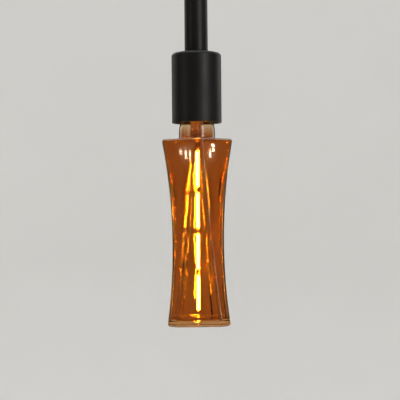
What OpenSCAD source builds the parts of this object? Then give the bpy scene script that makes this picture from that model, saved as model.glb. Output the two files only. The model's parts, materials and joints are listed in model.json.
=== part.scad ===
// Decorative LED filament bulb with a twisted, waisted amber glass, screwed
// into its black pendant lamp holder. Millimetres, +Z up. The origin is the
// top end of the suspension tube, and everything hangs below it.

/* [Glass body] */
// Height of the glass body, from its flat base to its shoulder
body_h = 175; // [165:1:185]
// Width across the four faces that are broad at the base, at the base
base_w = 59; // [56:0.2:60]
// Width across the same four faces at their waist
base_waist_w = 48.4; // [46.4:0.2:50]
// Height of that waist above the base
base_waist_h = 75; // [70:1:80]
// Width across the four faces that are broad at the shoulder, at the shoulder
shoulder_w = 53; // [51.6:0.2:54]
// Width across the same four faces at their waist
shoulder_waist_w = 49; // [48.2:0.1:50]
// Drop of that waist below the shoulder
shoulder_waist_drop = 51; // [48:1:56]
// Rounding of the eight upright edges
edge_r = 2.2; // [1:0.1:3]
// Rounding of the edge round the base
base_edge_r = 3.4; // [2.4:0.1:4]
// Rounding of the edge round the shoulder
shoulder_edge_r = 3; // [2:0.1:4]
// Thickness of the glass
glass_t = 1.4; // [1:0.1:1.8]
// Thickness of the glass at the base
base_t = 5; // [3:0.5:6]

/* [Glass neck] */
// Length of the neck from the shoulder to the edge of the screw cap
neck_len = 24; // [20:0.5:28]
// Diameter of the neck where it rises from the shoulder
neck_d = 34.4; // [32:0.2:36]
// Diameter of the neck inside the screw cap
neck_end_d = 23.4; // [22.6:0.1:24]
// Length of the neck inside the screw cap
neck_seal_len = 4; // [3:0.5:6]

/* [Glass stem] */
// Diameter of the stem tube
stem_d = 12.4; // [11:0.2:13.4]
// Thickness of the stem tube
stem_t = 0.9; // [0.7:0.1:1.2]
// Thickness of the flat press at the end of the stem
press_t = 5; // [4:0.1:6]
// Length of the flat press
press_h = 7; // [5:0.5:8]
// Drop of the end of the press below the shoulder
press_drop = 8; // [6:0.5:9]
// Angle of the press round the bulb
press_turn = 10; // [0:5:30]
// Diameter of the exhaust tube
exhaust_d = 4; // [3.4:0.1:4.4]
// Distance of each lead wire from the bulb's axis
lead_off = 3.6; // [3:0.1:4.2]
// Diameter of the lead and support wires
wire_d = 0.8; // [0.6:0.05:1]

/* [Filaments] */
// Drop of the first lit filament below the press
filament_drop = 3.9; // [3.6:0.1:6]
// Room between the last lit filament and the base
filament_foot = 13; // [11:0.5:16]
// Gap between two lit filaments, bridged by their welded tabs
filament_gap = 5.8; // [4.6:0.1:7]
// Diameter of a filament in its phosphor coat
filament_d = 3; // [2:0.1:3.6]

/* [Screw cap] */
// Diameter of the screw cap over its thread
cap_d = 26.2; // [26:0.05:26.4]
// Height of the screw cap with its end contact
cap_h = 27; // [26:0.1:27.5]
// Thickness of the cap's metal
cap_t = 0.35; // [0.25:0.05:0.4]
// Diameter of the end contact
end_contact_d = 10.8; // [9.6:0.1:11.4]

/* [Driver] */
// Width of the driver board
board_w = 15; // [12:0.5:17]
// Height of the driver board
board_h = 13; // [12:0.5:13.5]
// Distance of the board's face from the bulb's axis
board_off = 4; // [3.4:0.1:4.4]

/* [Suspension tube] */
// Diameter of the suspension tube
tube_d = 22; // [20:0.1:24]
// Length of the suspension tube
tube_len = 85; // [60:1:300]
// Thickness of the tube wall
tube_t = 1.5; // [1:0.1:2]
// Length of the threaded plug in each end of the tube
plug_len = 12; // [10:0.5:16]
// Radius of the bore for the 10 mm thread, at the crests of the thread
thread_bore_r = 4.5; // [4.4:0.05:4.6]
// Depth of that thread, which the dressed model shows
thread_depth = 0.55; // [0.5:0.05:0.6]

/* [Holder cup] */
// Diameter of the cup
cup_d = 47; // [45:0.2:50]
// Height of the cup
cup_h = 66; // [60:0.5:72]
// Thickness of the cup's metal
cup_t = 1.2; // [0.8:0.1:1.6]
// Rounding of the cup's top edge
cup_edge_r = 3.2; // [2.4:0.1:5]

/* [Lamp holder] */
// Diameter of the lamp holder's barrel and dome
barrel_d = 40; // [39:0.1:41.4]
// Height of the female screw shell
screw_shell_h = 24.9; // [23:0.1:26]
// Diameter of the dome's neck
dome_neck_d = 17; // [15:0.1:19]
// Length of the dome's neck
dome_neck_len = 8; // [6:0.1:9]
// Room for the terminals inside the dome
terminal_room = 9.1; // [8.8:0.1:11]
// Thickness of the porcelain block round the contact's recess
block_h = 9; // [8.5:0.1:11]
// Drop of the centre contact below the ceiling of its recess
leaf_drop = 3.25; // [3:0.05:3.6]

/* [Hidden] */
$fn = 64;

// Colours
black_paint = [0.06, 0.06, 0.06];
black_plastic = [0.09, 0.09, 0.1];
steel = [0.68, 0.68, 0.7];
brass = [0.8, 0.66, 0.36];
porcelain = [0.9, 0.88, 0.83];
amber_glass = [0.85, 0.45, 0.12, 0.5];
clear_glass = [0.85, 0.8, 0.72, 0.5];
phosphor = [1, 0.78, 0.3];
vitrite = [0.08, 0.07, 0.1];
board_green = [0.1, 0.35, 0.2];

// Clearances
press_gap = 0.05;  // parts pushed or screwed together
running_gap = 0.2; // the bulb's screw cap in the female shell
touch_gap = 0.15;  // a contact against its mate
seat_gap = 0.1;    // glass and cement beside metal

// Levels of the holder, from the top down
cup_top_z = -tube_len;
ceiling_z = cup_top_z - cup_t;
rim_z = cup_top_z - cup_h;
washer_t = 0.8;
nut_t = 3;
washer_z = ceiling_z - washer_t;
nut_z = washer_z - nut_t;
dome_roof_t = 1;
tab_t = 0.5;
roof_z = nut_z - dome_neck_len;
cavity_top_z = roof_z - dome_roof_t;
terminal_z = cavity_top_z - terminal_room;
block_top_z = terminal_z - tab_t;
block_web = 3;
recess_top_z = block_top_z - block_web;
block_z = block_top_z - block_h;
lip_z = block_z - screw_shell_h;
lip_t = 2;
leaf_z = recess_top_z - leaf_drop;

// Levels of the bulb
cap_tip_z = leaf_z - touch_gap;
cap_z = cap_tip_z - cap_h;
shoulder_z = cap_z - neck_len;
base_z = shoulder_z - body_h;
neck_top_z = cap_z + neck_seal_len;

// Radii
tube_r = tube_d / 2;
cup_r = cup_d / 2;
barrel_r = barrel_d / 2;
cap_r = cap_d / 2;
cap_skirt_r = cap_r + 0.12;
screw_shell_r = cap_skirt_r + running_gap;
wire_r = wire_d / 2;
stem_r = stem_d / 2;
exhaust_r = exhaust_d / 2;
nipple_r = thread_bore_r - press_gap;
thread_clear_r = thread_bore_r + thread_depth + 2 * press_gap;
nipple_t = 1.2;

// Glass envelope, lofted through rounded eight-sided rings
ARC_STEPS = 4;
BODY_STEPS = 13;
FILLET_STEPS = 3;
NECK_STEPS = 7;
neck_fillet_r = 1.6;
neck_t = 1;
neck_r = neck_d / 2;
neck_end_r = neck_end_d / 2;

// Radius of the arc that swells from half a waist width to half a broad width over a height
function arc_radius(waist, broad, h) = (h * h + pow((broad - waist) / 2, 2)) / (broad - waist);
base_arc_r = arc_radius(base_waist_w, base_w, base_waist_h);
shoulder_arc_r = arc_radius(shoulder_waist_w, shoulder_w, shoulder_waist_drop);

// Half width of a face at height z above the base
function waisted(z, waist, arc_r, waist_z) =
    waist / 2 + arc_r - sqrt(arc_r * arc_r - pow(z - waist_z, 2));
function base_face(z) = waisted(z, base_waist_w, base_arc_r, base_waist_h);
function shoulder_face(z) = waisted(z, shoulder_waist_w, shoulder_arc_r, body_h - shoulder_waist_drop);

// Eight-sided ring with rounded corners: faces square to the axes stand at a,
// the diagonal ones at b. With a, b and r alike it is a circle.
function eight_sided(a, b, r, z) = [
    for (k = [0:7])
        let (
            turn = 45 * k,
            here = (k % 2 == 0 ? a : b) - r,
            next = (k % 2 == 0 ? b : a) - r,
            along = (next - here * cos(45)) / sin(45)
        )
        for (i = [0:ARC_STEPS - 1])
            let (t = turn + 45 * (i + 0.5) / ARC_STEPS)
            [
                here * cos(turn) - along * sin(turn) + r * cos(t),
                here * sin(turn) + along * cos(turn) + r * sin(t),
                z
            ]
];

// Ring of the body at height z above the base, drawn in by a margin
function body_ring(z, margin) =
    eight_sided(
        base_face(z) - margin, shoulder_face(z) - margin,
        max(edge_r - margin, edge_r / 4), shoulder_z - body_h + z
    );
function round_ring(r, z) = eight_sided(r, r, r, z);

// The neck's radius at height h above the shoulder: it draws in towards the cap
function neck_at(h) =
    let (share = pow(min(h / (neck_len + 1), 1), 2))
    neck_end_r + (neck_r - neck_end_r) * (0.5 + 0.5 * cos(180 * share));

// Rings of one skin of the glass, from the base to the neck's end, drawn in by
// t on the body and by u on the neck, with its floor at height foot
function skin(t, u, foot) = let (
    low_r = base_edge_r - t,
    top_r = shoulder_edge_r - t,
    bend_r = neck_fillet_r + t,
    roof = body_h - t,
    low = foot + low_r,
    high = roof - top_r,
    quarter = 90 / FILLET_STEPS,
    neck_z = neck_fillet_r,
    neck_h = neck_len + neck_seal_len - neck_z
) concat(
    [for (i = [0:FILLET_STEPS - 1])
        body_ring(foot + low_r * (1 - cos(i * quarter)), t + low_r * (1 - sin(i * quarter)))],
    [for (i = [0:BODY_STEPS]) body_ring(low + (high - low) * i / BODY_STEPS, t)],
    [for (i = [1:FILLET_STEPS])
        body_ring(high + top_r * sin(i * quarter), t + top_r * (1 - cos(i * quarter)))],
    [for (i = [0:FILLET_STEPS - 1])
        round_ring(
            neck_r - u + bend_r * (1 - sin(i * quarter)),
            shoulder_z - t + bend_r * (1 - cos(i * quarter))
        )],
    [for (i = [0:NECK_STEPS])
        round_ring(neck_at(neck_z + neck_h * i / NECK_STEPS) - u,
            shoulder_z + neck_z + neck_h * i / NECK_STEPS)]
);

module loft(rings) {
    count = len(rings[0]);
    last = len(rings) - 1;
    points = [for (ring = rings) for (p = ring) p];
    sides = [
        for (r = [0:last - 1])
            for (j = [0:count - 1])
                let (a = r * count + j, b = r * count + (j + 1) % count)
                for (face = [[a, a + count, b + count], [a, b + count, b]]) face
    ];
    foot = [for (j = [0:count - 1]) j];
    head = [for (j = [0:count - 1]) last * count + count - 1 - j];
    polyhedron(points, concat([foot], sides, [head]), convexity = 6);
}

module glass_envelope() {
    outer = skin(0, 0, 0);
    inner = skin(glass_t, neck_t, base_t);
    color(amber_glass)
        loft(concat(outer, [for (i = [len(inner) - 1:-1:0]) inner[i]]));
}

// Shared shapes
module ring(r_out, r_in, h) {
    difference() {
        cylinder(r = r_out, h = h);
        translate([0, 0, -1]) cylinder(r = r_in, h = h + 2);
    }
}

// Half profile of a round block with one rounded top edge
module rounded_half(r, h, edge) {
    square([r - edge, h]);
    square([r, h - edge]);
    translate([r - edge, h - edge]) circle(r = edge);
}

// Round wire drawn as runs and bends. Each step is [run, bend angle, bend
// radius, roll]: a straight run, then a bend towards the wire's own +X as
// turned about the wire by the roll.
module bent_wire(r, steps, i = 0) {
    run = steps[i][0];
    turn = steps[i][1];
    bend_r = steps[i][2];
    cylinder(r = r, h = run, $fn = 24);
    if (turn > 0)
        translate([0, 0, run]) rotate([0, 0, steps[i][3]]) {
            translate([bend_r, 0, 0]) rotate([90, 0, 180])
                rotate_extrude(angle = turn, $fn = 32) translate([bend_r, 0]) circle(r = r, $fn = 24);
            if (i + 1 < len(steps))
                translate([bend_r * (1 - cos(turn)), 0, bend_r * sin(turn)]) rotate([0, turn, 0])
                    bent_wire(r, steps, i + 1);
        }
}

// Suspension tube
module suspension_tube() {
    color(black_paint) translate([0, 0, -tube_len]) ring(tube_r, tube_r - tube_t, tube_len);
}

module tube_plug() {
    groove_r = 1;
    r = tube_r - tube_t - press_gap;
    difference() {
        ring(r, thread_bore_r, plug_len);
        translate([0, 0, plug_len / 2])
            rotate_extrude() translate([r + groove_r / 2, 0]) circle(r = groove_r, $fn = 24);
    }
}

module tube_top_plug() {
    color(steel) translate([0, 0, -plug_len]) tube_plug();
}

module tube_bottom_plug() {
    color(steel) translate([0, 0, cup_top_z]) tube_plug();
}

// Holder cup and the stack that clamps it
module holder_cup() {
    color(black_paint) translate([0, 0, rim_z])
        difference() {
            rotate_extrude($fn = 128) rounded_half(cup_r, cup_h, cup_edge_r);
            translate([0, 0, -1])
                rotate_extrude($fn = 128)
                    rounded_half(cup_r - cup_t, cup_h - cup_t + 1, cup_edge_r - cup_t);
            cylinder(r = thread_clear_r, h = cup_h + 1);
        }
}

module threaded_nipple() {
    low_z = cavity_top_z;
    high_z = cup_top_z + plug_len - 2;
    color(steel) translate([0, 0, low_z]) ring(nipple_r, nipple_r - nipple_t, high_z - low_z);
}

module lock_washer() {
    teeth = 12;
    outer_r = 8.4;
    notch = 1;
    color(steel) translate([0, 0, washer_z])
        difference() {
            ring(outer_r, thread_clear_r, washer_t);
            for (i = [0:teeth - 1])
                rotate([0, 0, i * 360 / teeth])
                    translate([outer_r - notch, -notch / 2, -1]) cube([2 * notch, notch, washer_t + 2]);
        }
}

module lock_nut() {
    flats = 14;
    color(steel) translate([0, 0, nut_z])
        difference() {
            intersection() {
                cylinder(r = flats / sqrt(3), h = nut_t, $fn = 6);
                cylinder(r1 = flats / 2 + nut_t, r2 = flats / 2 + 0.4, h = nut_t);
            }
            translate([0, 0, -1]) cylinder(r = thread_bore_r, h = nut_t + 2);
        }
}

// Lamp holder
spigot_h = 6;                // height of the barrel's threaded spigot in the dome
spigot_t = 1.4;
spigot_r = barrel_r - spigot_t;
barrel_bore_r = spigot_r - spigot_t;
seat_w = 1;                  // width of the dome's step over the porcelain block
grub_r = 1.5;                // the dome's locking screw, left to the dressed model
grub_z = (nut_z + roof_z) / 2;

module holder_dome() {
    neck_r = dome_neck_d / 2;
    skirt_r = spigot_r + press_gap;
    skirt_z = block_top_z - spigot_h;
    cavity_r = barrel_bore_r - seat_w;
    straight_z = terminal_z + 1;
    dome_steps = 8;
    function arch(r, z) = [
        for (i = [0:dome_steps])
            let (t = 90 * i / dome_steps)
            [neck_r + (r - neck_r) * cos(t), straight_z + (z - straight_z) * sin(t)]
    ];
    outside = arch(barrel_r, roof_z);
    inside = arch(cavity_r, cavity_top_z);
    color(black_plastic)
        difference() {
            rotate_extrude($fn = 96)
                polygon(concat(
                    [[skirt_r, skirt_z], [barrel_r, skirt_z]],
                    outside,
                    [[neck_r, nut_z], [thread_bore_r, nut_z], [thread_bore_r, cavity_top_z]],
                    [for (i = [dome_steps:-1:0]) inside[i]],
                    [[cavity_r, block_top_z + press_gap], [skirt_r, block_top_z + press_gap]]
                ));
            translate([0, 0, grub_z]) rotate([0, 90, 0]) cylinder(r = grub_r + press_gap, h = barrel_r);
        }
}

module holder_barrel() {
    low_z = lip_z - lip_t;
    step_z = block_top_z - spigot_h - press_gap;
    lip_r = screw_shell_r + 1.2;
    ribs = 24;
    rib_r = 0.7;
    rib_low = 3;
    color(black_plastic)
        difference() {
            rotate_extrude($fn = 96)
                polygon([
                    [lip_r, low_z], [barrel_r - 1, low_z], [barrel_r, low_z + 1], [barrel_r, step_z],
                    [spigot_r, step_z], [spigot_r, block_top_z - press_gap],
                    [barrel_bore_r, block_top_z - press_gap], [barrel_bore_r, lip_z], [lip_r, lip_z]
                ]);
            for (i = [0:ribs - 1])
                rotate([0, 0, i * 360 / ribs])
                    translate([barrel_r + rib_r / 2, 0, low_z + rib_low])
                        cylinder(r = rib_r, h = step_z - low_z - 2 * rib_low, $fn = 16);
        }
}

recess_r = 9.5;              // recess of the porcelain block over the end contact
rivet_r = 1;
rivet_head = 0.6;            // height and overhang of a rivet's head
live_x = -7.5;
neutral_x = 7.5;
strip_x = screw_shell_r - rivet_r - 2 * rivet_head;
shell_t = 0.4;

module contact_block() {
    r = barrel_bore_r - press_gap;
    color(porcelain)
        difference() {
            translate([0, 0, block_z]) cylinder(r = r, h = block_h, $fn = 96);
            translate([0, 0, block_z - 1]) cylinder(r = recess_r, h = recess_top_z - block_z + 1);
            for (x = [live_x, strip_x])
                translate([x, 0, block_z - 1]) cylinder(r = rivet_r + press_gap, h = block_h + 2, $fn = 24);
        }
}

module screw_shell() {
    flange_r = barrel_bore_r - 0.5;
    out_r = screw_shell_r + shell_t;
    top_hole_r = recess_r + 0.4;
    color(brass)
        difference() {
            rotate_extrude($fn = 96)
                polygon([
                    [screw_shell_r, lip_z], [flange_r, lip_z], [flange_r, lip_z + shell_t],
                    [out_r, lip_z + shell_t], [out_r, block_z], [top_hole_r, block_z],
                    [top_hole_r, block_z - shell_t], [screw_shell_r, block_z - shell_t]
                ]);
            translate([strip_x, 0, block_z - 2]) cylinder(r = rivet_r + press_gap, h = 4, $fn = 24);
        }
}

// Tab on top of the block under a terminal, from x1 to x2
module terminal_tab(x1, x2) {
    tab_w = 5;
    translate([x1, -tab_w / 2, block_top_z]) cube([x2 - x1, tab_w, tab_t]);
}

// Strip and rivet that join the screw shell to the neutral terminal
module neutral_strip() {
    foot_z = block_z - shell_t - rivet_head;
    color(brass) {
        translate([strip_x, 0, foot_z]) {
            cylinder(r = rivet_r, h = block_top_z + tab_t / 2 - foot_z, $fn = 24);
            cylinder(r = rivet_r + rivet_head, h = rivet_head, $fn = 24);
        }
        terminal_tab(neutral_x - terminal_block[0] / 2, strip_x + rivet_r + rivet_head);
    }
}

terminal_block = [6, 5, 6.6];
terminal_screw_r = 1.25;
leaf_w = 6;
leaf_t = 0.5;
leaf_root_x = -4.5;
leaf_gap = 0.3;

// Strip and rivet that join the spring contact to the live terminal
module live_strip() {
    strap_x = 1 - recess_r;
    color(brass) {
        translate([live_x, 0, recess_top_z - leaf_t / 2])
            cylinder(r = rivet_r, h = block_web + (leaf_t + tab_t) / 2, $fn = 24);
        translate([strap_x, -leaf_w / 2 + 1, recess_top_z - leaf_t])
            cube([leaf_root_x - strap_x, leaf_w - 2, leaf_t]);
        terminal_tab(live_x - terminal_block[0] / 2, live_x + terminal_block[0] / 2);
    }
}

// The spring tongue that presses on the bulb's end contact
module contact_leaf() {
    x = leaf_root_x + leaf_gap;
    top = recess_top_z - seat_gap;
    back = leaf_z + leaf_t;
    pad = [-1.6, 3];
    color(brass)
        translate([0, leaf_w / 2, 0]) rotate([90, 0, 0])
            linear_extrude(height = leaf_w)
                polygon([
                    [x, top - leaf_t], [pad[0], leaf_z], [pad[1], leaf_z], [pad[1] + 1, leaf_z + 1.1],
                    [pad[1] + 0.6, leaf_z + 1.4], [pad[1] - 0.25, back], [pad[0] + 0.25, back],
                    [x + 0.4, top], [x, top]
                ]);
}

module terminal_blocks() {
    wire_hole_r = 1.3;
    wire_hole_z = 2.2;
    color(brass)
        for (x = [live_x, neutral_x])
            translate([x, 0, terminal_z])
                difference() {
                    translate([-terminal_block[0] / 2, -terminal_block[1] / 2, 0]) cube(terminal_block);
                    translate([0, terminal_block[1], wire_hole_z]) rotate([90, 0, 0])
                        cylinder(r = wire_hole_r, h = 2 * terminal_block[1], $fn = 24);
                    translate([0, 0, wire_hole_z])
                        cylinder(r = terminal_screw_r, h = terminal_block[2], $fn = 24);
                }
}

// Screw cap
contact_h = 1.4;    // height of the end contact
insulator_h = 4.2;  // height of the insulator above the shell
shell_top_z = cap_tip_z - contact_h - insulator_h;
contact_z = cap_tip_z - contact_h;
contact_r = end_contact_d / 2;
shell_in_r = cap_r - cap_t;
collar_r = cap_r - 2.4;

module cap_shell() {
    skirt_h = 3.4;
    cone_w = 1.4;
    cone_h = 1.8;
    color(steel)
        rotate_extrude($fn = 96)
            polygon([
                [shell_in_r, cap_z], [cap_skirt_r, cap_z], [cap_skirt_r, cap_z + skirt_h],
                [cap_r, cap_z + skirt_h + 0.3], [cap_r, shell_top_z - cone_h],
                [cap_r - cone_w, shell_top_z], [collar_r, shell_top_z],
                [collar_r, shell_top_z - cap_t], [cap_r - cone_w - cap_t / 2, shell_top_z - cap_t],
                [shell_in_r, shell_top_z - cone_h - cap_t / 4]
            ]);
}

insulator_t = 1.6;
module cap_insulator() {
    top_z = contact_z - seat_gap;
    collar_top_z = shell_top_z - cap_t - press_gap;
    wire_hole_r = 0.8;
    color(vitrite)
        rotate_extrude($fn = 96)
            polygon([
                [collar_r - insulator_t, shell_top_z - insulator_t],
                [collar_r + 0.5, shell_top_z - insulator_t], [collar_r + 0.5, collar_top_z],
                [collar_r - press_gap, collar_top_z], [collar_r - press_gap, shell_top_z + 0.3],
                [contact_r + 0.8, top_z], [wire_hole_r, top_z], [wire_hole_r, top_z - insulator_t],
                [contact_r - insulator_t, top_z - insulator_t], [collar_r - insulator_t, shell_top_z]
            ]);
}

// Brass eyelet under a low mound of solder
module end_contact() {
    eyelet_t = 0.5;
    mound_steps = 6;
    flat_r = 1.6;
    mound_r = contact_r - 0.9;
    mound = [
        for (i = [0:mound_steps])
            let (t = 90 * i / mound_steps)
            [flat_r + (mound_r - flat_r) * cos(t), contact_z + eyelet_t + (contact_h - eyelet_t) * sin(t)]
    ];
    color(steel)
        rotate_extrude($fn = 64)
            polygon(concat(
                [[0, contact_z], [contact_r, contact_z], [contact_r, contact_z + eyelet_t]],
                mound, [[0, cap_tip_z]]
            ));
}

module cap_cement() {
    color(porcelain)
        translate([0, 0, cap_z + 0.6])
            ring(shell_in_r - press_gap, neck_end_r + seat_gap, neck_seal_len - 0.6);
}

// Glass stem
press_z = shoulder_z - press_drop;
press_top_z = press_z + press_h;
pinch_h = 5;                 // height over which the tube narrows to the press
flare_r = 5;                 // radius of the flare's trumpet
flare_rim_r = neck_end_r - neck_t - seat_gap;
flare_z = neck_top_z - flare_r - stem_t;
exhaust_top_z = neck_top_z + 6;

// Half profile of the stem outside: press, tube and trumpet flare
module stem_half() {
    translate([0, press_z]) square([stem_r, flare_z - press_z]);
    difference() {
        translate([0, flare_z]) square([flare_rim_r, flare_r + stem_t]);
        translate([stem_r + flare_r, flare_z]) circle(r = flare_r);
    }
}

// Half profile of its hollow, from the top of the press up
module stem_hollow_half() {
    translate([0, press_top_z]) square([stem_r - stem_t, flare_z - press_top_z]);
    difference() {
        translate([0, flare_z]) square([flare_rim_r + 1, flare_r + 2 * stem_t]);
        translate([stem_r + flare_r, flare_z]) circle(r = flare_r + stem_t);
    }
}

// Block that pinches a revolve to half a width w at the press, and to r above it
module pinched(w, r) {
    wide = 2 * flare_rim_r;
    turn_z = press_top_z + pinch_h;
    high_z = neck_top_z + 1;
    rotate([90, 0, 0])
        translate([0, 0, -wide]) linear_extrude(height = 2 * wide)
            polygon([
                [w, press_z - 1], [w, press_top_z], [r, turn_z], [wide, turn_z], [wide, high_z],
                [-wide, high_z], [-wide, turn_z], [-r, turn_z], [-w, press_top_z], [-w, press_z - 1]
            ]);
}

module glass_stem() {
    color(clear_glass)
        rotate([0, 0, press_turn])
            difference() {
                intersection() {
                    rotate_extrude() stem_half();
                    pinched(press_t / 2, stem_r + 0.3);
                }
                intersection() {
                    rotate_extrude() stem_hollow_half();
                    pinched(press_t / 2 - stem_t, stem_r - stem_t + 0.3);
                }
                for (side = [-1, 1])
                    translate([0, side * lead_off, press_z - 1])
                        cylinder(r = wire_r + press_gap, h = press_h + pinch_h, $fn = 24);
            }
}

module exhaust_tube() {
    bore_r = exhaust_r - 0.8;
    tip_r = 0.6;
    tip_z = exhaust_top_z - exhaust_r;
    room = exhaust_r + seat_gap - (press_t / 2 - stem_t);
    low_z = press_top_z + pinch_h * max(room, 0) / (stem_r + 0.3 - press_t / 2) + seat_gap;
    color(clear_glass)
        difference() {
            union() {
                translate([0, 0, low_z]) cylinder(r = exhaust_r, h = tip_z - low_z, $fn = 32);
                translate([0, 0, tip_z]) cylinder(r1 = exhaust_r, r2 = tip_r, h = exhaust_r, $fn = 32);
            }
            translate([0, 0, low_z - 1]) cylinder(r = bore_r, h = tip_z - low_z + 1, $fn = 32);
        }
}

// Filaments, their leads and their support
FILAMENTS = 4;
weld_w = 1.1;
weld_t = 0.3;
weld_lap = 1.4;              // overlap of two tabs in a gap
end_tab_len = 3.2;           // length of the first and the last tab
bend_r = 1;
lead_drop = 1.7;             // drop of the front lead's foot below the press
hook_drop = 5;               // drop of the support wire's hook below the last filament
lit_len = (body_h - press_drop - filament_drop - filament_foot
    - (FILAMENTS - 1) * filament_gap) / FILAMENTS;
function filament_top(i) = press_z - filament_drop - (i - 1) * (lit_len + filament_gap);
function filament_low(i) = filament_top(i) - lit_len;

module filament(i) {
    r = filament_d / 2;
    edge = 0.8;
    color(phosphor)
        translate([0, 0, filament_low(i)])
            rotate_extrude($fn = 32)
                polygon([
                    [0, 0], [r - edge, 0], [r, edge], [r, lit_len - edge], [r - edge, lit_len], [0, lit_len]
                ]);
}

// A welded tab in front at each filament's top, and one behind at its foot
module filament_tabs() {
    len_in_gap = (filament_gap + weld_lap) / 2;
    color(steel)
        rotate([0, 0, press_turn])
            for (i = [1:FILAMENTS]) {
                up = i == 1 ? end_tab_len : len_in_gap;
                down = i == FILAMENTS ? end_tab_len : len_in_gap;
                translate([-weld_w / 2, -weld_t, filament_top(i)]) cube([weld_w, weld_t, up]);
                translate([-weld_w / 2, 0, filament_low(i) - down]) cube([weld_w, weld_t, down]);
            }
}

// Both leads end on the back of the driver board
module lead_in_wires() {
    board_run_z = board_z + 2;
    front_x = lead_off * sin(press_turn);
    tab_z = press_z - lead_drop;
    color(steel) {
        rotate([0, 0, press_turn])
            translate([0, -weld_t, tab_z]) rotate([0, 0, -90]) rotate([0, 90, 0])
                bent_wire(wire_r, [
                    [lead_off - weld_t - bend_r, 90, bend_r, 180],
                    [board_run_z - tab_z - 2 * bend_r, 90, bend_r, -90 - press_turn],
                    [board_off - front_x - bend_r, 0, 0, 0]
                ]);
        rotate([0, 0, press_turn])
            translate([0, lead_off, tab_z])
                bent_wire(wire_r, [
                    [board_run_z - tab_z - bend_r, 90, bend_r, -press_turn],
                    [board_off + front_x - bend_r, 0, 0, 0]
                ]);
    }
}

// From the back lead down behind the filaments, hooked up onto the last tab
module support_wire() {
    top_z = press_z - lead_drop;
    hook_r = (lead_off - weld_t - wire_r) / 2;
    hook_z = filament_low(FILAMENTS) - hook_drop;
    rise = hook_drop - wire_r - end_tab_len + 1.6;
    color(steel)
        rotate([0, 0, press_turn])
            translate([0, lead_off, top_z]) rotate([0, 0, -90]) rotate([180, 0, 0])
                bent_wire(wire_r, [
                    [top_z - hook_z - hook_r - wire_r, 180, hook_r, 0],
                    [rise - hook_r, 0, 0, 0]
                ]);
}

// Driver, closed up in the cap
board_t = 1;
board_z = neck_top_z + 2;
board_face = board_off + board_t;
can_r = 3;
can_h = 9;
chip_y = board_w / 4 + can_r / 2;
hookup_r = 0.3;

module driver_board() {
    color(board_green) translate([board_off, -board_w / 2, board_z]) cube([board_t, board_w, board_h]);
}

module driver_capacitor() {
    crimp_z = 1.6;
    color(black_plastic)
        translate([board_face + can_r + seat_gap, 0, board_z + 1])
            rotate_extrude($fn = 48)
                polygon([
                    [0, 0], [can_r, 0], [can_r, crimp_z - 0.4], [can_r - 0.3, crimp_z],
                    [can_r, crimp_z + 0.4], [can_r, can_h - 0.3], [can_r - 0.3, can_h], [0, can_h]
                ]);
}

// Flat chip standing on the board's front face
module chip(y, size) {
    color(black_plastic) translate([board_face, y - size[1] / 2, board_z + board_h / 2]) cube(size);
}

module driver_rectifier() {
    chip(chip_y, [2.4, 3.6, 4.6]);
}

module driver_regulator() {
    chip(-chip_y, [1.5, 3.8, 4.9]);
}

resistor = [board_off - 1.4, 3];
resistor_len = 6;
resistor_z = board_z + board_h - resistor_len - 1.5;

module fuse_resistor() {
    body_r = 1.1;
    end_r = 1.3;
    band = 1.2;
    color(porcelain)
        translate([resistor[0], resistor[1], resistor_z])
            rotate_extrude($fn = 32)
                polygon([
                    [0, 0], [end_r, 0], [end_r, band], [body_r, band + 0.3],
                    [body_r, resistor_len - band - 0.3], [end_r, resistor_len - band],
                    [end_r, resistor_len], [0, resistor_len]
                ]);
}

// From the resistor across to the axis and up to the end contact
module live_wire() {
    start_z = resistor_z + resistor_len;
    across_z = board_z + board_h + 0.8;
    color(brass)
        translate([resistor[0], resistor[1], start_z])
            bent_wire(hookup_r, [
                [across_z - start_z - bend_r, 90, bend_r, atan2(-resistor[1], -resistor[0])],
                [norm(resistor) - 2 * bend_r, 90, bend_r, 180],
                [contact_z - seat_gap - across_z - bend_r, 0, 0, 0]
            ]);
}

// From the board to the shell, down its inner wall
module neutral_wire() {
    y = -board_w * 0.4;
    reach = sqrt(pow(shell_in_r - hookup_r - seat_gap, 2) - y * y);
    color(brass)
        translate([board_face, y, board_z + 1.6]) rotate([0, 90, 0])
            bent_wire(hookup_r, [[reach - board_face - bend_r, 90, bend_r, 0], [1.8, 0, 0, 0]]);
}

suspension_tube();
tube_top_plug();
tube_bottom_plug();
holder_cup();
threaded_nipple();
lock_washer();
lock_nut();
holder_dome();
holder_barrel();
contact_block();
screw_shell();
neutral_strip();
live_strip();
contact_leaf();
terminal_blocks();
end_contact();
cap_insulator();
cap_shell();
cap_cement();
glass_envelope();
glass_stem();
exhaust_tube();
lead_in_wires();
support_wire();
filament_tabs();
filament(1);  // filament_1
filament(2);  // filament_2
filament(3);  // filament_3
filament(4);  // filament_4
driver_board();
driver_capacitor();
driver_rectifier();
driver_regulator();
fuse_resistor();
live_wire();
neutral_wire();
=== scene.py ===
# Amber filament bulb in its black cup holder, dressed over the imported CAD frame.
# Lengths in the settings are millimetres, and everything is built in metres.
import math

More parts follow.
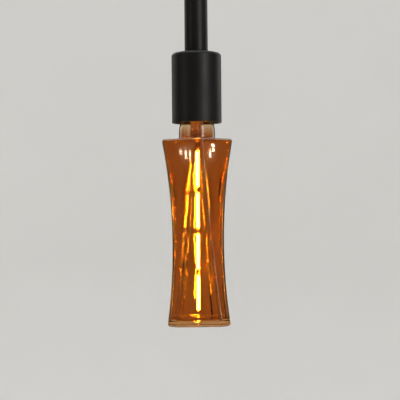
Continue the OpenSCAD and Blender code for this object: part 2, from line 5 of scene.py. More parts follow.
import bpy
import numpy as np
from mathutils import Matrix, Vector
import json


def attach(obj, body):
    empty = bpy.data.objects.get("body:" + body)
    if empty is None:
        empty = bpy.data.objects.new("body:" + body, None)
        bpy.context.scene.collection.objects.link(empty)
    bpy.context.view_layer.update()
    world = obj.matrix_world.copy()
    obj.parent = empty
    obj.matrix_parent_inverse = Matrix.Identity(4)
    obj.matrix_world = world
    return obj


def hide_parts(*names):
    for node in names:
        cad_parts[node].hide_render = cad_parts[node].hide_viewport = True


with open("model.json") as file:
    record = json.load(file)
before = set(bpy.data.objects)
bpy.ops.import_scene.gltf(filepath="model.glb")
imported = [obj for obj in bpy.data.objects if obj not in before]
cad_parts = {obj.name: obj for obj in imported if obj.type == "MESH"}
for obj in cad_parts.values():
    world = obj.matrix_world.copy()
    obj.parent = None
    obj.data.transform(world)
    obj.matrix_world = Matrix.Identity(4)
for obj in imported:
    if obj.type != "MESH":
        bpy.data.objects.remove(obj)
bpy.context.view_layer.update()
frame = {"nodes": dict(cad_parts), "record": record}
mm = 0.001
tau = 2 * math.pi
glassBounces = 24   # a ray crosses many skins of glass
scene = bpy.context.scene
scene.view_settings.view_transform = "Standard"
scene.cycles.caustics_reflective = False   # the filaments would leave sparks on the backdrop
scene.cycles.caustics_refractive = False
scene.cycles.transmission_bounces = glassBounces
scene.cycles.max_bounces = glassBounces
scene.cycles.sample_clamp_indirect = 0   # keeps the filaments' reflections in the glass
print("frame loaded:", len(frame["nodes"]), "nodes")


# Camera at the photograph's height and distance; its angles are in degrees
view = {
    "distance": 975, "eyeLevel": -220.9, "aside": 2.35, "turn": -1.9, "tilt": 0.168, "roll": 0.5,
    "lens": 92.7, "sensor": 36, "clipEnd": 30000,
}


def setCamera():
    turn = math.radians(view["turn"])
    back = Vector((math.sin(turn), -math.cos(turn), 0))
    right = Vector((math.cos(turn), math.sin(turn), 0))
    eyeHeight = Vector((0, 0, view["eyeLevel"] * mm))
    data = bpy.data.cameras.new("photoView")
    data.lens = view["lens"]
    data.sensor_width = view["sensor"]
    data.clip_end = view["clipEnd"] * mm
    camera = bpy.data.objects.new("photoView", data)
    scene.collection.objects.link(camera)
    camera.location = back * view["distance"] * mm + right * view["aside"] * mm + eyeHeight
    tilt = Matrix.Rotation(math.radians(90 - view["tilt"]), 3, "X")
    roll = Matrix.Rotation(-math.radians(view["roll"]), 3, "Z")
    camera.rotation_euler = (Matrix.Rotation(turn, 3, "Z") @ tilt @ roll).to_euler()
    scene.camera = camera


setCamera()


# Mesh helpers
creaseAngle = 35   # degrees; an edge that turns more than this stays sharp
threadRows = 12   # rows of points to one turn of a thread


def makePiece(name, points, faces, material, sharpAngle=creaseAngle):
    mesh = bpy.data.meshes.new(name)
    mesh.from_pydata([tuple(p) for p in np.asarray(points) * mm], [], faces)
    mesh.validate()
    mesh.polygons.foreach_set("use_smooth", [True] * len(mesh.polygons))
    if sharpAngle:
        mesh.set_sharp_from_angle(angle=math.radians(sharpAngle))
    mesh.materials.append(material)
    piece = bpy.data.objects.new(name, mesh)
    scene.collection.objects.link(piece)
    return piece


def ringTurns(n):
    return np.linspace(0, tau, n + 1)[:-1]


def quarterTurn(steps):
    return np.linspace(0, math.pi / 2, steps + 1)


def ringFaces(first, second, n):
    # Faces between two rings, each given by the number of its first point
    return [(first + j, first + (j + 1) % n, second + (j + 1) % n, second + j) for j in range(n)]


def loft(name, rows, material, startPole=None, endPole=None, closed=False, sharpAngle=creaseAngle):
    # Rows of equal length, joined one to the next; a pole closes an end
    n = len(rows[0])
    last = (len(rows) - 1) * n
    points = [p for row in rows for p in row]
    faces = [face for r in range(len(rows) - 1) for face in ringFaces(r * n, (r + 1) * n, n)]
    if closed:
        faces += ringFaces(last, 0, n)
    if startPole is not None:
        points.append(startPole)
        faces += [((j + 1) % n, j, len(points) - 1) for j in range(n)]
    if endPole is not None:
        points.append(endPole)
        faces += [(last + j, last + (j + 1) % n, len(points) - 1) for j in range(n)]
    return makePiece(name, points, faces, material, sharpAngle)


def softened(profile, radius, steps=3):
    # Rounds the corners of a closed outline a little
    points = [np.array(p, float) for p in profile]
    rounded = []
    for i, p in enumerate(points):
        before, after = points[i - 1] - p, points[(i + 1) % len(points)] - p
        a, b = (p + way * (radius / np.linalg.norm(way)) for way in (before, after))
        for s in np.linspace(0, 1, steps + 1):
            rounded.append(tuple((1 - s) ** 2 * a + 2 * s * (1 - s) * p + s * s * b))
    return rounded


def threadRun(r, low, high, depth, pitch, fade):
    # A threaded stretch of a profile: radius, level and the wave's depth, which fades at both ends
    levels = np.linspace(low, high, round((high - low) / pitch * threadRows))
    return [(r, z, depth * min(1, (z - low) / fade, (high - z) / fade)) for z in levels]


def thickened(profile, metal):
    return [(r + metal, z, *wave) for r, z, *wave in profile]


def spunRing(point, turns, pitch):
    # One ring of a lathed profile; the thread waves it where the point has a depth
    r, z, *wave = point
    reach = r + (wave[0] * np.cos(tau * z / pitch - turns) if wave else 0) * np.ones(len(turns))
    return np.stack([reach * np.cos(turns), reach * np.sin(turns), np.full(len(turns), z)], 1)


def lathe(name, profile, material, n=96, pitch=None, sharpAngle=creaseAngle, pole=False):
    # Spins a closed outline, which runs up the outside; with a pole it starts and ends on the axis
    if not pole:
        rows = [spunRing(point, ringTurns(n), pitch) for point in profile]
        return loft(name, rows, material, closed=True, sharpAngle=sharpAngle)
    rows = [spunRing(point, ringTurns(n), pitch) for point in profile[1:-1]]
    start, end = ((0, 0, profile[k][1]) for k in (0, -1))
    return loft(name, rows, material, start, end, sharpAngle=sharpAngle)


def cutAway(piece, tool):
    # Takes one solid out of another and keeps the finished mesh
    cut = piece.modifiers.new("cut", "BOOLEAN")
    cut.operation, cut.solver, cut.object = "DIFFERENCE", "EXACT", tool
    bpy.context.view_layer.update()
    mesh = bpy.data.meshes.new_from_object(piece.evaluated_get(bpy.context.evaluated_depsgraph_get()))
    piece.modifiers.clear()
    mesh.set_sharp_from_angle(angle=math.radians(creaseAngle))
    piece.data = mesh
    bpy.data.objects.remove(tool)


def finishPiece(piece, body, slot, *nodes):
    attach(piece, body)
    if nodes:
        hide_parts(*nodes)


def hideFrom(thing, *rays):
    for ray in rays:
        setattr(thing, "visible_" + ray, False)


# Node helpers
class Shade:
    def __init__(self, name):
        self.material = bpy.data.materials.new(name)
        self.material.use_nodes = True
        self.tree = self.material.node_tree
        self.shader = self.tree.nodes["Principled BSDF"]
        self.output = self.tree.nodes["Material Output"]
        self.place = self.tree.nodes.new("ShaderNodeTexCoord").outputs["Object"]

    def add(self, kind, values=None):
        node = self.tree.nodes.new("ShaderNode" + kind)
        for socket, value in (values or {}).items():
            node.inputs[socket].default_value = value
        return node

    def join(self, source, target):
        self.tree.links.new(source, target)

    def set(self, values):
        for socket, value in values.items():
            self.shader.inputs[socket].default_value = value

    def noise(self, scale, detail=3.0, roughness=0.55, stretch=(1, 1, 1)):
        mapping = self.add("Mapping", {"Scale": stretch})
        self.join(self.place, mapping.inputs["Vector"])
        node = self.add("TexNoise", {"Scale": scale, "Detail": detail, "Roughness": roughness})
        self.join(mapping.outputs["Vector"], node.inputs["Vector"])
        return node.outputs["Fac"]

    def spread(self, source, low, high, fromLow=0.3, fromHigh=0.7):
        limits = {"From Min": fromLow, "From Max": fromHigh, "To Min": low, "To Max": high}
        node = self.add("MapRange", limits)
        self.join(source, node.inputs["Value"])
        return node.outputs["Result"]

    def blendColours(self, factor, first, second):
        # The mix node's colours are its inputs 6 and 7 and its output 2
        node = self.add("Mix")
        node.data_type = "RGBA"
        self.join(factor, node.inputs["Factor"])
        for socket, colour in ((node.inputs[6], first), (node.inputs[7], second)):
            socket.default_value = (*colour, 1)
        return node.outputs[2]

    def mottle(self, scale, detail, first, second):
        # Two colours in full contrast, mixed by a noise
        self.colour(self.blendColours(self.spread(self.noise(scale, detail), 0, 1), first, second))

    def colour(self, source):
        self.join(source, self.shader.inputs["Base Color"])

    def rough(self, source):
        self.join(source, self.shader.inputs["Roughness"])

    def bump(self, source, distance, strength=1.0):
        node = self.add("Bump", {"Strength": strength, "Distance": distance * mm})
        self.join(source, node.inputs["Height"])
        self.join(node.outputs["Normal"], self.shader.inputs["Normal"])


# Studio: a pale bowl with a flat floor, open at the top
studio = {
    "floorLevel": -1350, "floorRadius": 2100, "coveRadius": 900, "wallTop": 2600,
    "paint": (0.74, 0.73, 0.71), "paleShare": 1.02, "world": (0.92, 0.94, 0.96), "worldStrength": 1.0,
    "floorRings": 6, "coveSteps": 16, "n": 96,
}


def makeStudio():
    s = studio
    shade = Shade("studioPaint")
    shade.set({"Roughness": 0.9, "Specular IOR Level": 0.1})
    shade.mottle(3.0, 2, s["paint"], tuple(c * s["paleShare"] for c in s["paint"]))
    level, flat, cove = s["floorLevel"], s["floorRadius"], s["coveRadius"]
    profile = [(flat * k / s["floorRings"], level) for k in range(1, s["floorRings"] + 1)]
    for a in quarterTurn(s["coveSteps"])[1:]:
        profile.append((flat + cove * math.sin(a), level + cove * (1 - math.cos(a))))
    profile.append((flat + cove, s["wallTop"]))
    rows = [[(r * math.cos(t), r * math.sin(t), z) for t in ringTurns(s["n"])] for r, z in profile]
    floor = loft("studioFloor", rows, shade.material, startPole=(0, 0, level), sharpAngle=None)
    world = bpy.data.worlds.new("studioSky")
    world.use_nodes = True
    sky = world.node_tree.nodes["Background"]
    sky.inputs["Color"].default_value = (*s["world"], 1)
    sky.inputs["Strength"].default_value = s["worldStrength"]
    scene.world = world


# Lamps: azimuth is in degrees from the camera's side, positive to the right, and power is in watts
lampAim = -180   # level that every lamp points at
lamps = {
    "keyStrip": {"azimuth": 38, "height": 60, "distance": 1500, "size": (420, 1500), "power": 13},
    "fillLeft": {"azimuth": -62, "height": 100, "distance": 1700, "size": (500, 1300), "power": 3},
    "top": {"azimuth": 0, "height": 1900, "distance": 60, "size": (1600, 1600), "power": 18},
    "backLeft": {"azimuth": -150, "height": 500, "distance": 1700, "size": (1200, 1600), "power": 5},
    "backRight": {"azimuth": 135, "height": 500, "distance": 1700, "size": (1200, 1600), "power": 5},
}


def makeLamps():
    target = Vector((0, 0, lampAim * mm))
    for name, s in lamps.items():
        turn = math.radians(s["azimuth"])
        data = bpy.data.lights.new(name, "AREA")
        data.shape = "RECTANGLE"
        data.size, data.size_y = s["size"][0] * mm, s["size"][1] * mm
        data.energy = s["power"]
        lamp = bpy.data.objects.new(name, data)
        scene.collection.objects.link(lamp)
        place = (math.sin(turn) * s["distance"], -math.cos(turn) * s["distance"], s["height"])
        lamp.location = Vector(place) * mm
        lamp.rotation_euler = (target - lamp.location).to_track_quat("-Z", "Y").to_euler()
        hideFrom(lamp, "camera", "transmission")


def bentSheet(name, sheet, azimuth, halfWidth, levels, material):
    # An upright sheet bent round the lamp: its front, and its back a little further out
    across = np.linspace(-halfWidth, halfWidth, sheet["columns"])
    sides = ((sheet["radius"], 1), (sheet["radius"] + sheet["thickness"], -1))
    ring = [(r, t) for r, way in sides for t in np.radians(azimuth + way * across)]
    rows = [[(math.sin(t) * r, -math.cos(t) * r, z) for r, t in ring] for z in levels]
    return loft(name, rows, material, sharpAngle=None)


# Dark flags, hidden from the camera: slim ones draw the edges of the glass, and a wide one behind the camera
# stands for the dark room that the photograph's glass and paint reflect
flagSheet = {"thickness": 6, "columns": 13}
flags = {
    "slim": {"radius": 1150, "low": -1000, "high": 620, "halfWidth": 8, "azimuths": (-106, -74, 74, 106)},
    "edge": {"radius": 1150, "low": -1000, "high": -108, "halfWidth": 2, "azimuths": (-167, 167)},
    "neck": {"radius": 1150, "low": -108, "high": 140, "halfWidth": 13, "azimuths": (-153, 153)},
    "room": {"radius": 2050, "low": -1250, "high": 1700, "halfWidth": 102, "azimuths": (0,)},
}


def makeFlags():
    shade = Shade("flagCloth")
    shade.set({"Roughness": 0.95, "Specular IOR Level": 0.05})
    shade.colour(shade.blendColours(shade.noise(4, 2), (0.02, 0.018, 0.016), (0.03, 0.028, 0.025)))
    for kind, f in flags.items():
        sheet = {"radius": f["radius"], **flagSheet}
        for azimuth in f["azimuths"]:
            name = "%sFlag%d" % (kind, azimuth)
            flag = bentSheet(name, sheet, azimuth, f["halfWidth"], (f["low"], f["high"]), shade.material)
            hideFrom(flag, "camera", "diffuse", "shadow")
            if kind == "room":
                hideFrom(flag, "transmission")


# Lit panes beside the lamp, seen only as small reflections high on the two broad faces
paneSheet = {"radius": 450, "thickness": 2, "columns": 5, "rows": 4}
paneGlow = {"Emission Color": (1.0, 0.78, 0.5, 1), "Emission Strength": 55.0, "Roughness": 0.9}
panes = [
    {"azimuth": -86.6, "width": 0.2, "low": -197.1, "high": -195.7},
    {"azimuth": -85.75, "width": 0.2, "low": -199.4, "high": -196.2},
    {"azimuth": -85.0, "width": 0.16, "low": -200.5, "high": -196.8},
    {"azimuth": 89.6, "width": 0.42, "low": -191.6, "high": -189.4},
    {"azimuth": 89.75, "width": 0.24, "low": -194.2, "high": -192.3},
    {"azimuth": 89.25, "width": 0.24, "low": -197.0, "high": -193.8},
]


def makePanes():
    shade = Shade("paneLight")
    shade.set(paneGlow)
    shade.colour(shade.blendColours(shade.noise(90), (0.8, 0.78, 0.74), (0.85, 0.83, 0.8)))
    for k, p in enumerate(panes):
        levels = np.linspace(p["low"], p["high"], paneSheet["rows"])
        pane = bentSheet("pane%d" % (k + 1), paneSheet, p["azimuth"], p["width"] / 2, levels, shade.material)
        hideFrom(pane, "camera", "diffuse", "shadow", "transmission")


makeStudio()
makeLamps()
makeFlags()
makePanes()
print("studio and", len(lamps), "lamps")


# Finishes: a noise mottles the colour, and finer noises vary the roughness and stand out as grain
def powderCoat():
    shade = Shade("blackPowderCoat")
    shade.set({"Specular IOR Level": 0.24})
    shade.colour(shade.blendColours(shade.noise(60), (0.0045, 0.0038, 0.0032), (0.007, 0.0063, 0.0058)))
    shade.rough(shade.spread(shade.noise(35, 4), 0.4, 0.5))
    shade.bump(shade.noise(1500, 2), 0.02, 0.5)
    return shade.material


def blackPhenolic():
    shade = Shade("blackPhenolic")
    shade.colour(shade.blendColours(shade.noise(300, 4), (0.008, 0.0075, 0.008), (0.018, 0.017, 0.016)))
    shade.rough(shade.spread(shade.noise(120, 3), 0.32, 0.5))
    shade.bump(shade.noise(900, 3), 0.015, 0.4)
    return shade.material


def platedMetal(name, dull, bright, lowRough, highRough, grain=(1, 1, 14)):
    shade = Shade(name)
    shade.set({"Metallic": 1.0})
    shade.mottle(180, 5, dull, bright)
    lines = shade.noise(500, 4, 0.6, grain)
    shade.rough(shade.spread(lines, lowRough, highRough))
    shade.bump(lines, 0.008, 0.5)
    return shade.material


def porcelainGlaze():
    shade = Shade("porcelainGlaze")
    shade.set({"Roughness": 0.25, "Coat Weight": 0.6, "Coat Roughness": 0.08})
    shade.mottle(400, 5, (0.74, 0.72, 0.66), (0.82, 0.8, 0.75))
    shade.bump(shade.noise(350, 3), 0.03, 0.4)
    return shade.material


def stoneCement():
    shade = Shade("cappingCement")
    shade.set({"Roughness": 0.9})
    shade.mottle(900, 6, (0.3, 0.25, 0.19), (0.52, 0.46, 0.37))
    shade.bump(shade.noise(1400, 5), 0.12, 0.8)
    return shade.material


def darkEnamel(name, dark, pale, lowRough, highRough, scale=500):
    shade = Shade(name)
    shade.mottle(scale, 4, dark, pale)
    shade.rough(shade.spread(shade.noise(scale * 1.7, 3), lowRough, highRough))
    shade.bump(shade.noise(scale * 3, 3), 0.02, 0.4)
    return shade.material


phosphorGlow = {"Emission Color": (1.0, 0.57, 0.03, 1), "Emission Strength": 380.0, "Roughness": 0.7}


def litPhosphor():
    shade = Shade("litPhosphor")
    shade.set(phosphorGlow)
    shade.mottle(900, 4, (0.9, 0.62, 0.12), (0.95, 0.7, 0.2))
    shade.bump(shade.noise(1500, 3), 0.03, 0.4)
    return shade.material


# Glass: the amber stain starts on the neck and is full from the shoulder down, and the stem has a faint
# painted glow, an emission that stands for the filaments' light scattered in it
stain = {
    "clear": (0.88, 0.75, 0.55), "clearLevel": -152.0, "amber": (0.62, 0.285, 0.095), "amberLevel": -165.0,
    "stem": (0.96, 0.68, 0.37), "stemLevel": -156.0, "press": (0.5, 0.28, 0.13), "pressLevel": -168.0,
    # painted glow of the stem: emission colour and strength that stand for the filaments' scattered light
    "paintedGlow": (1.0, 0.42, 0.12), "paintedGlowStrength": 0.024,
}


def tintByHeight(shade, first, second):
    # The tint runs from one named colour and level of the stain to the other
    height = shade.add("SeparateXYZ")
    shade.join(shade.place, height.inputs["Vector"])
    levels = (stain[first + "Level"] * mm, stain[second + "Level"] * mm)
    share = shade.spread(height.outputs["Z"], 0.0, 1.0, *levels)
    tint = shade.blendColours(share, stain[first], stain[second])
    shade.colour(tint)
    return tint


def clearToLamps(shade, tint):
    # Lamps shine through the glass, and the camera sees it bend and mirror
    path = shade.add("LightPath")
    passing = shade.add("BsdfTransparent")
    skinTint = shade.add("Gamma", {"Gamma": 0.5})   # each skin of the glass takes half of the tint
    mix = shade.add("MixShader")
    shade.join(tint, skinTint.inputs["Color"])
    shade.join(skinTint.outputs["Color"], passing.inputs["Color"])
    shade.join(path.outputs["Is Shadow Ray"], mix.inputs["Fac"])
    shade.join(shade.shader.outputs["BSDF"], mix.inputs[1])
    shade.join(passing.outputs["BSDF"], mix.inputs[2])
    shade.join(mix.outputs["Shader"], shade.output.inputs["Surface"])


def amberGlass():
    shade = Shade("amberGlass")
    shade.set({"Roughness": 0.035, "IOR": 1.5, "Transmission Weight": 1.0})
    clearToLamps(shade, tintByHeight(shade, "clear", "amber"))
    return shade.material


def leadGlass():
    shade = Shade("leadGlass")
    shade.set({"Roughness": 0.05, "IOR": 1.53, "Transmission Weight": 1.0})
    # painted glow: a faint emission on the stem glass stands for the filaments' scattered light
    shade.set({"Emission Color": (*stain["paintedGlow"], 1), "Emission Strength": stain["paintedGlowStrength"]})
    shade.bump(shade.noise(380, 2), 2.6)   # lumps from the lamp worker's flame
    clearToLamps(shade, tintByHeight(shade, "press", "stem"))
    return shade.material


finish = {
    "black_paint": powderCoat(),
    "black_plastic": blackPhenolic(),
    "zinc_steel": platedMetal("zincSteel", (0.5, 0.5, 0.5), (0.66, 0.66, 0.64), 0.28, 0.5),
    "brass": platedMetal("drawnBrass", (0.7, 0.47, 0.18), (0.8, 0.58, 0.27), 0.25, 0.45),
    "porcelain": porcelainGlaze(),
    "cap_metal": platedMetal("capMetal", (0.66, 0.65, 0.62), (0.78, 0.77, 0.74), 0.24, 0.42, (1, 1, 8)),
    "solder": platedMetal("solderedTin", (0.5, 0.5, 0.5), (0.64, 0.64, 0.63), 0.3, 0.55, (1, 1, 1)),
    "vitrite": darkEnamel("blackVitrite", (0.006, 0.004, 0.009), (0.014, 0.01, 0.018), 0.06, 0.16),
    "cement": stoneCement(),
    "amber_glass": amberGlass(),
    "clear_glass": leadGlass(),
    "nickel_wire": platedMetal("nickelWire", (0.52, 0.49, 0.45), (0.66, 0.63, 0.58), 0.22, 0.4, (1, 1, 6)),
    "phosphor": litPhosphor(),
    "board": darkEnamel("greenBoard", (0.01, 0.09, 0.035), (0.02, 0.14, 0.06), 0.3, 0.45, 300),
    "black_epoxy": darkEnamel("blackEpoxy", (0.01, 0.01, 0.011), (0.02, 0.02, 0.02), 0.45, 0.65),
    "resistor_body": darkEnamel("resistorLacquer", (0.2, 0.36, 0.38), (0.28, 0.44, 0.46), 0.25, 0.4, 400),
    "tinned_copper": platedMetal("tinnedCopper", (0.6, 0.42, 0.32), (0.7, 0.6, 0.52), 0.2, 0.38, (1, 1, 6)),
}
print("finishes:", len(finish))

slotOf = {row["node"]: row["material_slot"] for row in frame["record"]["subparts"]}
for name, node in frame["nodes"].items():
    node.data.materials.clear()
    node.data.materials.append(finish[slotOf[name]])


# Glass envelope: eight faces on two sets of arcs, drawn with a wall of its own
glass = {
    "shoulderLevel": -166.0, "bodyHeight": 175.0,
    "baseWidth": 59.0, "baseWaist": 48.4, "baseWaistHeight": 75.0,
    "shoulderWidth": 53.0, "shoulderWaist": 49.0, "shoulderWaistDrop": 51.0,
    "edge": 2.2, "innerEdge": 3.2, "leastEdge": 0.3, "baseEdge": 3.4, "shoulderEdge": 3.4,
    "innerShoulder": 2.0, "wall": 1.4, "neckWall": 1.0, "floor": 5.0,
    "rounding": 0.37, "roundingDrop": 14.0, "roundingRun": 40.0,
    "neckRadius": 17.2, "neckEndRadius": 11.7, "neckLength": 24.0, "neckTaper": 25.0, "neckSeal": 4.0,
    "neckFillet": 1.6, "cornerSteps": 6, "faceSteps": 10, "bodyRows": 64, "filletSteps": 8, "neckRows": 26,
    "floorRings": (0.06, 0.2, 0.4, 0.6, 0.8, 0.93), "topRings": (0.33, 0.67),
}
waves = {
    "size": 0.07, "shoulderShare": 1.5, "shoulderDrop": 9.0, "shoulderRun": 6.0,
    "neckShare": 0.2, "neckDrop": 2.0, "floorRise": 0.3,
}


def waisted(h, waist, broad, span, waistAt):
    # A face's distance at a height: an arc through the waist that reaches the broad end
    arc = (span ** 2 + ((broad - waist) / 2) ** 2) / (broad - waist)
    return waist / 2 + arc - math.sqrt(arc ** 2 - (h - waistAt) ** 2)


def faceDistances(h):
    g = glass
    top = g["bodyHeight"] - g["shoulderWaistDrop"]
    return (waisted(h, g["baseWaist"], g["baseWidth"], g["baseWaistHeight"], g["baseWaistHeight"]),
            waisted(h, g["shoulderWaist"], g["shoulderWidth"], g["shoulderWaistDrop"], top))


def eightSided(square, slanted, corner, z):
    # Corner arcs joined by subdivided flats, in one run round the ring
    eighth, steps = tau / 8, glass["faceSteps"]
    corners = []
    for k in range(8):
        turn = k * eighth
        here, following = (square, slanted) if k % 2 == 0 else (slanted, square)
        here, following = here - corner, following - corner
        along = (following - here * math.cos(eighth)) / math.sin(eighth)
        x = here * math.cos(turn) - along * math.sin(turn)
        y = here * math.sin(turn) + along * math.cos(turn)
        corners.append([(x + corner * math.cos(t), y + corner * math.sin(t))
                        for t in np.linspace(turn, turn + eighth, glass["cornerSteps"] + 1)])
    ring = []
    for k in range(8):
        ring += corners[k]
        a, b = corners[k][-1], corners[(k + 1) % 8][0]
        for s in 0.5 - 0.5 * np.cos(math.pi * np.arange(1, steps) / steps):
            ring.append((a[0] + (b[0] - a[0]) * s, a[1] + (b[1] - a[1]) * s))
    return np.array([(x, y, z) for x, y in ring])


def neckRadius(h):
    share = min(h / glass["neckTaper"], 1) ** 2
    shrink = glass["neckRadius"] - glass["neckEndRadius"]
    return glass["neckEndRadius"] + shrink * (0.5 + 0.5 * math.cos(math.pi * share))


def glassSkin(wall, neckWall, foot, edge, high):
    # From the middle of the floor up to the neck's end, set in by the wall, with its shoulder's radius last
    g = glass
    shoulder, base = g["shoulderLevel"], g["shoulderLevel"] - g["bodyHeight"]
    low = g["baseEdge"] - wall
    roof = g["bodyHeight"] - wall
    quarter = quarterTurn(g["filletSteps"])

    def bodyRing(h, inset):
        square, slanted = faceDistances(h)
        margin = wall + inset
        return eightSided(square - margin, slanted - margin, max(edge - inset, g["leastEdge"]), base + h)

    rows = [bodyRing(foot, low) * (share, share, 1) for share in g["floorRings"]]
    for a in quarter[:-1]:
        rows.append(bodyRing(foot + low * (1 - math.cos(a)), low * (1 - math.sin(a))))
    for h in np.linspace(foot + low, roof - high, g["bodyRows"]):
        rows.append(bodyRing(h, 0))
    for a in quarter[1:]:
        rows.append(bodyRing(roof - high + high * math.sin(a), high * (1 - math.cos(a))))
    last = rows[-1]
    turns = np.arctan2(last[:, 1], last[:, 0])
    around = np.stack([np.cos(turns), np.sin(turns), np.zeros_like(turns)], 1)
    neck, bend = g["neckRadius"] - neckWall, g["neckFillet"] + wall
    first = around * (neck + bend) + (0, 0, shoulder - wall)
    for share in g["topRings"]:
        rows.append(last * (1 - share) + first * share)
    for a in quarter[:-1]:
        level = shoulder - wall + bend * (1 - math.cos(a))
        rows.append(around * (neck + bend * (1 - math.sin(a))) + (0, 0, level))
    for h in np.linspace(g["neckFillet"], g["neckLength"] + g["neckSeal"], g["neckRows"]):
        rows.append(around * (neckRadius(h) - neckWall) + (0, 0, shoulder + h))
    return rows


def rounder(rows):
    # Blown glass gathers in the corners of its mould, so the inside is rounder than the outside
    g = glass
    rounded = []
    for row in rows:
        reach = np.hypot(row[:, 0], row[:, 1])
        drop = g["shoulderLevel"] - row[0][2] - g["roundingDrop"]
        share = g["rounding"] * min(max(drop / g["roundingRun"], 0), 1)
        scale = 1 - share * (1 - reach.min() / reach)
        rounded.append(row * np.stack([scale, scale, np.ones_like(scale)], 1))
    return rounded


def waved(rows):
    # Slow waves, as blown glass has them, stronger under the shoulder and across the floor;
    # each factor of x, y and z is in radians a millimetre
    w, shoulder = waves, glass["shoulderLevel"]
    floorTop = shoulder - glass["bodyHeight"] + glass["floor"] + glass["baseEdge"]
    moved = []
    for x, y, z in (row.T for row in rows):
        swell = (np.sin(z * 0.11 + 1.3 * np.sin(x * 0.13) + 0.4) * np.sin(y * 0.17 + x * 0.09 + 1.0)
                 + 0.5 * np.sin(x * 0.31 - z * 0.05 + 2.0) * np.sin(y * 0.27 + z * 0.08)) * w["size"]
        under = np.exp(-((z - shoulder + w["shoulderDrop"]) / w["shoulderRun"]) ** 2)
        swell = swell * (1 + w["shoulderShare"] * under)
        swell = np.where(z > shoulder - w["neckDrop"], w["neckShare"] * swell, swell)
        rise = w["floorRise"] * np.sin(x * 0.21 + 0.6) * np.cos(y * 0.19 + x * 0.07)
        scale = 1 + swell / np.hypot(x, y)
        moved.append(np.stack([x * scale, y * scale, z + np.where(z < floorTop, rise, 0)], 1))
    return moved


def makeEnvelope():
    g = glass
    outer = glassSkin(0.0, 0.0, 0.0, g["edge"], g["shoulderEdge"])
    inner = glassSkin(g["wall"], g["neckWall"], g["floor"], g["innerEdge"], g["innerShoulder"])
    base = g["shoulderLevel"] - g["bodyHeight"]
    rows = outer + waved(rounder(inner))[::-1]
    poles = ((0, 0, base), (0, 0, base + g["floor"]))
    envelope = loft("blown_envelope", rows, finish["amber_glass"], *poles, sharpAngle=None)
    finishPiece(envelope, "bulb", "amber_glass", "glass_envelope")


makeEnvelope()
print("envelope")


# Stem of lead glass: press, tube and flare in one skin, hollow above the press
stem = {
    "press": -174.0, "pressTop": -167.0, "round": -161.8, "flare": -143.9,
    "turn": 10,   # degrees
    "squareness": 3.4,
    "radius": 6.2, "wall": 0.9, "pressHalf": 2.5, "flareRadius": 5.0, "rim": 10.6, "rimSwell": 0.12,
    "foot": 0.8, "footGap": 0.4, "boreGap": 0.1,
    "footSteps": 4, "swellRows": 26, "tubeRows": 8, "flareRows": 13, "rimRows": 7, "n": 72,
}


def stemRing(across, deep, z, power):
    # Squarish at the press, round above it; the thin side faces the camera
    t = ringTurns(stem["n"])
    c, s = np.cos(t), np.sin(t)
    x = deep * np.sign(c) * np.abs(c) ** (2 / power)
    y = across * np.sign(s) * np.abs(s) ** (2 / power)
    turn = math.radians(stem["turn"])
    turnedX = x * math.cos(turn) - y * math.sin(turn)
    turnedY = x * math.sin(turn) + y * math.cos(turn)
    return np.stack([turnedX, turnedY, np.full_like(t, z)], 1)


def stemSkin(inset):
    # The outside starts at the press's rounded foot, and the inside just above the press
    s = stem
    r, thin = s["radius"] - inset, s["pressHalf"] - inset
    rows, start = [], s["pressTop"] + s["boreGap"]
    if not inset:
        for a in quarterTurn(s["footSteps"]):
            d = s["foot"] * (1 - math.sin(a))
            level = s["press"] + s["foot"] * (1 - math.cos(a))
            rows.append(stemRing(r - d, thin - d, level, s["squareness"]))
        start = s["press"] + s["foot"] + s["footGap"]
    for z in np.linspace(start, s["round"], s["swellRows"]):
        share = min(max((z - s["pressTop"]) / (s["round"] - s["pressTop"]), 0), 1)
        swell = share * share * (3 - 2 * share)
        power = s["squareness"] + (2 - s["squareness"]) * swell
        rows.append(stemRing(r, thin + (r - thin) * swell, z, power))
    for z in np.linspace(s["round"], s["flare"], s["tubeRows"])[1:]:
        rows.append(stemRing(r, r, z, 2))
    bend = s["flareRadius"] + inset
    reach = math.acos((s["radius"] + s["flareRadius"] - s["rim"]) / bend)
    for a in np.linspace(0, reach, s["flareRows"])[1:]:
        edge = s["radius"] + s["flareRadius"] - bend * math.cos(a)
        rows.append(stemRing(edge, edge, s["flare"] + bend * math.sin(a), 2))
    return rows


def makeStem():
    s = stem
    outer, inner = stemSkin(0), stemSkin(s["wall"])
    low, high = outer[-1][0][2], inner[-1][0][2]
    rim = []
    for a in np.linspace(0, math.pi, s["rimRows"])[1:-1]:
        edge = s["rim"] + s["rimSwell"] * math.sin(a)
        rim.append(stemRing(edge, edge, low + (high - low) * (0.5 - 0.5 * math.cos(a)), 2))
    poles = ((0, 0, s["press"]), (0, 0, s["pressTop"]))
    skin = loft("stem_glass", outer + rim + inner[::-1], finish["clear_glass"], *poles, sharpAngle=None)
    finishPiece(skin, "bulb", "clear_glass", "glass_stem")


# Exhaust tube, sealed off in a bead at its tip
exhaust = {
    "low": -164.6, "tip": -132.0, "radius": 2.0, "bore": 1.2, "edge": 0.15, "beadPower": 0.8,
    "beadHeight": 1.9, "beadSteps": 8, "tipRadii": (0.2, 0.05),
    "seal": 2.4, "sealHeight": 1.68, "sealStart": 0.1, "sealRows": 6, "n": 40,
}


def makeExhaust():
    e = exhaust
    r, bore, low, tip = e["radius"], e["bore"], e["low"], e["tip"]
    profile = [(bore, low), (r - e["edge"], low), (r, low + e["edge"]), (r, tip - r)]
    for a in quarterTurn(e["beadSteps"])[1:-1]:
        profile.append((r * math.cos(a) ** e["beadPower"], tip - e["beadHeight"] * (1 - math.sin(a))))
    profile += [(tipRadius, tip) for tipRadius in e["tipRadii"]]
    for a in np.linspace(math.pi / 2 - e["sealStart"], 0, e["sealRows"]):
        profile.append((bore * math.cos(a), tip - e["seal"] - e["sealHeight"] * (1 - math.sin(a))))
    tube = lathe("exhaust_glass", profile, finish["clear_glass"], e["n"], sharpAngle=None)
    finishPiece(tube, "bulb", "clear_glass", "exhaust_tube")


